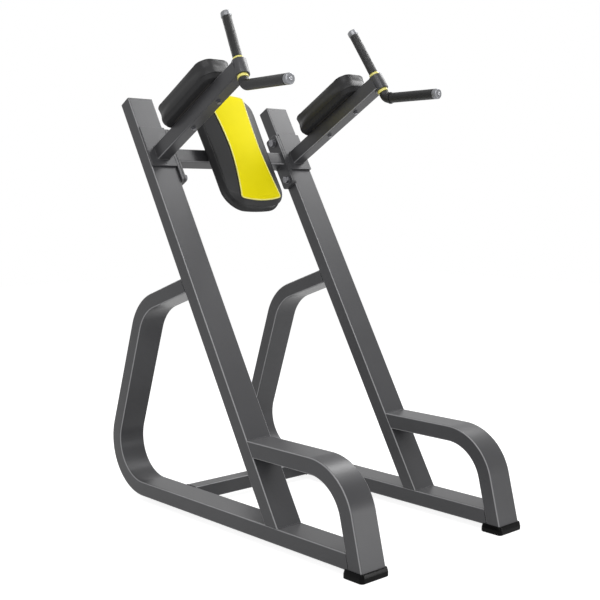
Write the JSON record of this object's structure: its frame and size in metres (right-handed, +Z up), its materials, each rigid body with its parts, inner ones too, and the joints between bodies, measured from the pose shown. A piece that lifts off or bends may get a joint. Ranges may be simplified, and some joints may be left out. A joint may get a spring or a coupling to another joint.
{
  "type": "vertical knee raise station",
  "caption": "Vertical knee raise station of bent tube side frames, with a padded back rest and padded forearm rests that end in swivelling dip handles.",
  "frame": {"origin": "on the floor, under the middle of the machine's bounding box", "axes": "+Z up, -Y towards the front, where the user steps on and faces, +X to the right as seen from the front, which is also what left and right mean in the names"},
  "size_m": [0.7408, 1.2517, 1.6353],
  "materials": {
    "frame_paint": "satin powder coat",
    "charcoal_vinyl": "semi-gloss grained vinyl",
    "yellow_vinyl": "semi-gloss vinyl",
    "plywood": "black stained",
    "dark_steel": "blackened",
    "bar_steel": "bright",
    "black_rubber": "satin",
    "yellow_plastic": "moulded",
    "turned_aluminium": "turned"
  },
  "bodies": {
    "station": {"left_front_loop": "frame_paint", "right_front_loop": "frame_paint", "left_rear_loop": "frame_paint", "right_rear_loop": "frame_paint", "left_upright": "frame_paint", "right_upright": "frame_paint", "left_upright_cap": "frame_paint", "right_upright_cap": "frame_paint", "left_side_plate": "frame_paint", "right_side_plate": "frame_paint", "left_arm_plate": "frame_paint", "right_arm_plate": "frame_paint", "left_arm": "frame_paint", "right_arm": "frame_paint", "floor_crossbar": "frame_paint", "upper_crossbar": "frame_paint", "back_pad_plate": "frame_paint", "left_handle_sleeve": "frame_paint", "right_handle_sleeve": "frame_paint", "left_front_foot": "black_rubber", "right_front_foot": "black_rubber", "left_rear_foot": "black_rubber", "right_rear_foot": "black_rubber", "left_plate_bolt_lower": "dark_steel", "left_plate_bolt_upper": "dark_steel", "right_plate_bolt_lower": "dark_steel", "right_plate_bolt_upper": "dark_steel", "left_arm_pad": "charcoal_vinyl", "right_arm_pad": "charcoal_vinyl", "left_arm_pad_board": "plywood", "right_arm_pad_board": "plywood", "left_arm_pad_bolt_front": "dark_steel", "left_arm_pad_bolt_rear": "dark_steel", "right_arm_pad_bolt_front": "dark_steel", "right_arm_pad_bolt_rear": "dark_steel", "back_pad": "charcoal_vinyl", "back_pad_panel": "yellow_vinyl", "back_pad_board": "plywood", "back_pad_bolt_left_lower": "dark_steel", "back_pad_bolt_left_upper": "dark_steel", "back_pad_bolt_right_lower": "dark_steel", "back_pad_bolt_right_upper": "dark_steel", "left_upper_bush": "yellow_plastic", "left_lower_bush": "yellow_plastic", "right_upper_bush": "yellow_plastic", "right_lower_bush": "yellow_plastic"},
    "left_handle": {"left_handle_bar": "bar_steel", "left_upper_grip": "black_rubber", "left_lower_grip": "black_rubber", "left_upper_end_cap": "turned_aluminium", "left_lower_end_cap": "turned_aluminium", "left_upper_cap_screw": "dark_steel", "left_lower_cap_screw": "dark_steel"},
    "right_handle": {"right_handle_bar": "bar_steel", "right_upper_grip": "black_rubber", "right_lower_grip": "black_rubber", "right_upper_end_cap": "turned_aluminium", "right_lower_end_cap": "turned_aluminium", "right_upper_cap_screw": "dark_steel", "right_lower_cap_screw": "dark_steel"}
  },
  "joints": [
    {"name": "left_handle_swivel", "type": "hinge", "parent": "station", "child": "left_handle", "pos_m": [-0.3052, -0.04202, 1.44532], "axis": [0.1219, 0.4963, 0.8596], "range_deg": [-90, 90]},
    {"name": "right_handle_swivel", "type": "hinge", "parent": "station", "child": "right_handle", "pos_m": [0.3052, -0.04202, 1.44532], "axis": [-0.1219, 0.4963, 0.8596], "range_deg": [-90, 90]}
  ]
}
